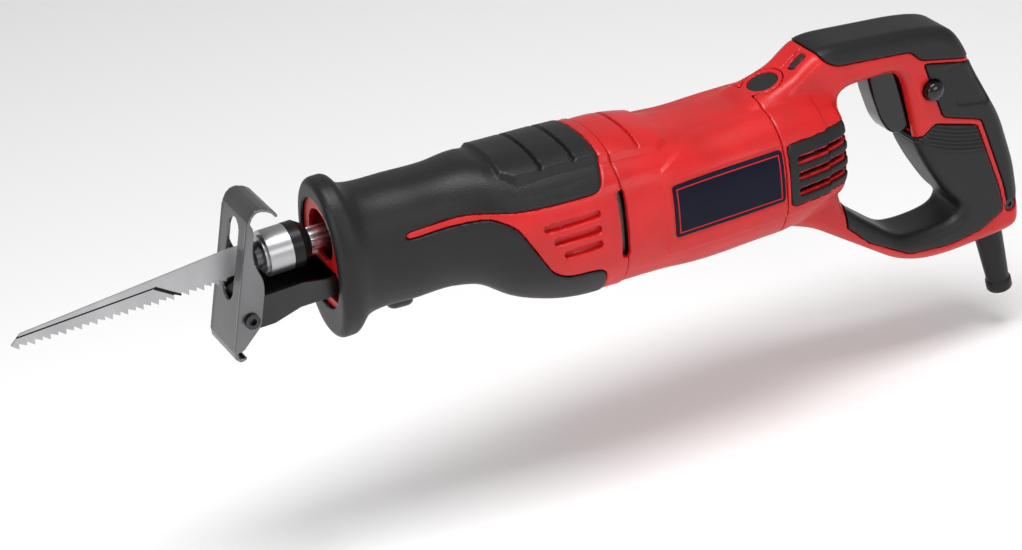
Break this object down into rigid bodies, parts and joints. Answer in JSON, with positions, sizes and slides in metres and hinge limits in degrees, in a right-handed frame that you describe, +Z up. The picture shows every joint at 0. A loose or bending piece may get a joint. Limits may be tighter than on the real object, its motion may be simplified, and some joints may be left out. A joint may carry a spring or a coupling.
{
  "type": "reciprocating saw",
  "caption": "Corded reciprocating saw with a rubber-covered front barrel, D-shaped rear handle, tilting shoe and a straight toothed blade.",
  "frame": {"origin": "centre of the blade window on the bearing face of the shoe, on the plunger axis", "axes": "-X towards the blade tip and +X towards the handle, +Z up with the blade teeth down, -Y the side with the lock-on button"},
  "size_m": [0.612, 0.084, 0.2107],
  "materials": {
    "red_plastic": "fine grain, satin",
    "black_rubber": "matt, soft overmoulding",
    "grille_plastic": "satin",
    "label_film": "satin film",
    "window_plastic": "glossy, tinted",
    "gloss_black": "glossy",
    "switch_plastic": "moulded",
    "boot_rubber": "matt",
    "shoe_steel": "blackened sheet steel, satin",
    "bracket_steel": "blackened sheet steel",
    "screw_steel": "machined",
    "blade_steel": "light grey, brushed",
    "dark_steel": "machined, dark",
    "polished_steel": "polished",
    "sleeve_plastic": "satin",
    "rod_steel": "ground",
    "spring_steel": "drawn wire",
    "gear_steel": "hardened",
    "bronze": "sintered",
    "felt": "felt",
    "gearcase_metal": "die cast",
    "lamination_steel": "stacked sheet",
    "copper": "enamelled copper",
    "fan_plastic": "moulded",
    "bearing_steel": "ground",
    "bridge_plastic": "moulded",
    "carbon": "pressed carbon"
  },
  "bodies": {
    "housing": {"stator_core": "lamination_steel", "field_coils": "copper", "bearing_bridge": "bridge_plastic", "rear_bearing": "bearing_steel", "front_bearing": "bearing_steel", "brush_holders": "bronze", "carbon_brushes": "carbon", "brush_springs": "spring_steel", "gear_case_upper": "gearcase_metal", "gear_case_lower": "gearcase_metal", "upper_crank_bearing": "bearing_steel", "lower_crank_bearing": "bearing_steel", "front_bushing": "bronze", "rear_bushing": "bronze", "felt_seal": "felt", "front_grip": "black_rubber", "front_cover": "red_plastic", "motor_housing": "red_plastic", "label_left": "label_film", "label_right": "label_film", "grille_left": "grille_plastic", "grille_right": "grille_plastic", "top_grip": "black_rubber", "back_grip": "black_rubber", "inner_grip": "black_rubber", "rear_housing_left": "red_plastic", "rear_housing_right": "red_plastic", "trigger_pin": "screw_steel", "switch_module": "switch_plastic", "indicator_window": "window_plastic", "speed_controller": "switch_plastic", "strain_relief": "boot_rubber", "cord_clamp": "switch_plastic", "handle_screw": "screw_steel"},
    "blade_plunger": {"plunger_rod": "rod_steel", "yoke": "gear_steel", "yoke_roller": "gear_steel", "clamp_body": "dark_steel", "clamp_pin": "dark_steel", "clamp_ring": "polished_steel", "clamp_spring": "spring_steel", "blade": "blade_steel"},
    "clamp_sleeve": {"clamp_sleeve": "sleeve_plastic"},
    "crank": {"crank_gear": "gear_steel", "crank_pin": "gear_steel", "crank_axle": "gear_steel"},
    "armature": {"armature_shaft": "rod_steel", "cooling_fan": "fan_plastic", "armature_core": "lamination_steel", "armature_windings": "copper", "commutator": "copper"},
    "shoe_carrier": {"shoe_bracket": "bracket_steel", "shoe_pivot_screw": "screw_steel"},
    "shoe": {"shoe": "shoe_steel"},
    "release_button": {"release_button": "gloss_black", "release_spring": "spring_steel"},
    "trigger": {"trigger": "gloss_black"},
    "lock_on_button": {"lock_on_button": "gloss_black"},
    "speed_dial": {"speed_dial": "gloss_black"}
  },
  "joints": [
    {"name": "plunger_slide", "type": "slide", "parent": "housing", "child": "blade_plunger", "axis": [1, 0, 0], "range_m": [0, 0.028]},
    {"name": "clamp_sleeve_twist", "type": "hinge", "parent": "blade_plunger", "child": "clamp_sleeve", "pos_m": [0.035, 0, 0], "axis": [1, 0, 0], "range_deg": [0, 60], "stiffness_Nm_per_rad": 0.2},
    {"name": "armature_spin", "type": "hinge", "parent": "housing", "child": "armature", "pos_m": [0.26, 0, -0.037], "axis": [1, 0, 0], "continuous": true},
    {"name": "crank_spin", "type": "hinge", "parent": "housing", "child": "crank", "pos_m": [0.174, 0, -0.03], "axis": [0, 0, 1], "continuous": true},
    {"name": "shoe_depth", "type": "slide", "parent": "housing", "child": "shoe_carrier", "axis": [1, 0, 0], "range_m": [-0.024, 0.004]},
    {"name": "shoe_tilt", "type": "hinge", "parent": "shoe_carrier", "child": "shoe", "pos_m": [0.0013, 0, -0.0266], "axis": [0, 1, 0], "range_deg": [-8, 8]},
    {"name": "release_press", "type": "slide", "parent": "housing", "child": "release_button", "axis": [0, 0, 1], "range_m": [0, 0.003], "stiffness_N_per_m": 800, "deforming": ["release_spring"]},
    {"name": "trigger_pull", "type": "hinge", "parent": "housing", "child": "trigger", "pos_m": [0.398, 0, 0.0006], "axis": [0, -1, 0], "range_deg": [0, 8], "stiffness_Nm_per_rad": 1.5},
    {"name": "lock_on_press", "type": "slide", "parent": "housing", "child": "lock_on_button", "axis": [0, 1, 0], "range_m": [0, 0.0025], "stiffness_N_per_m": 600},
    {"name": "dial_turn", "type": "hinge", "parent": "housing", "child": "speed_dial", "pos_m": [0.3264, 0, 0.004], "axis": [-0.2588, 0, 0.9659], "range_deg": [-135, 135]}
  ],
  "couplings": [
    {"joint": "crank_spin", "follows": "armature_spin", "ratio": -0.18182}
  ]
}
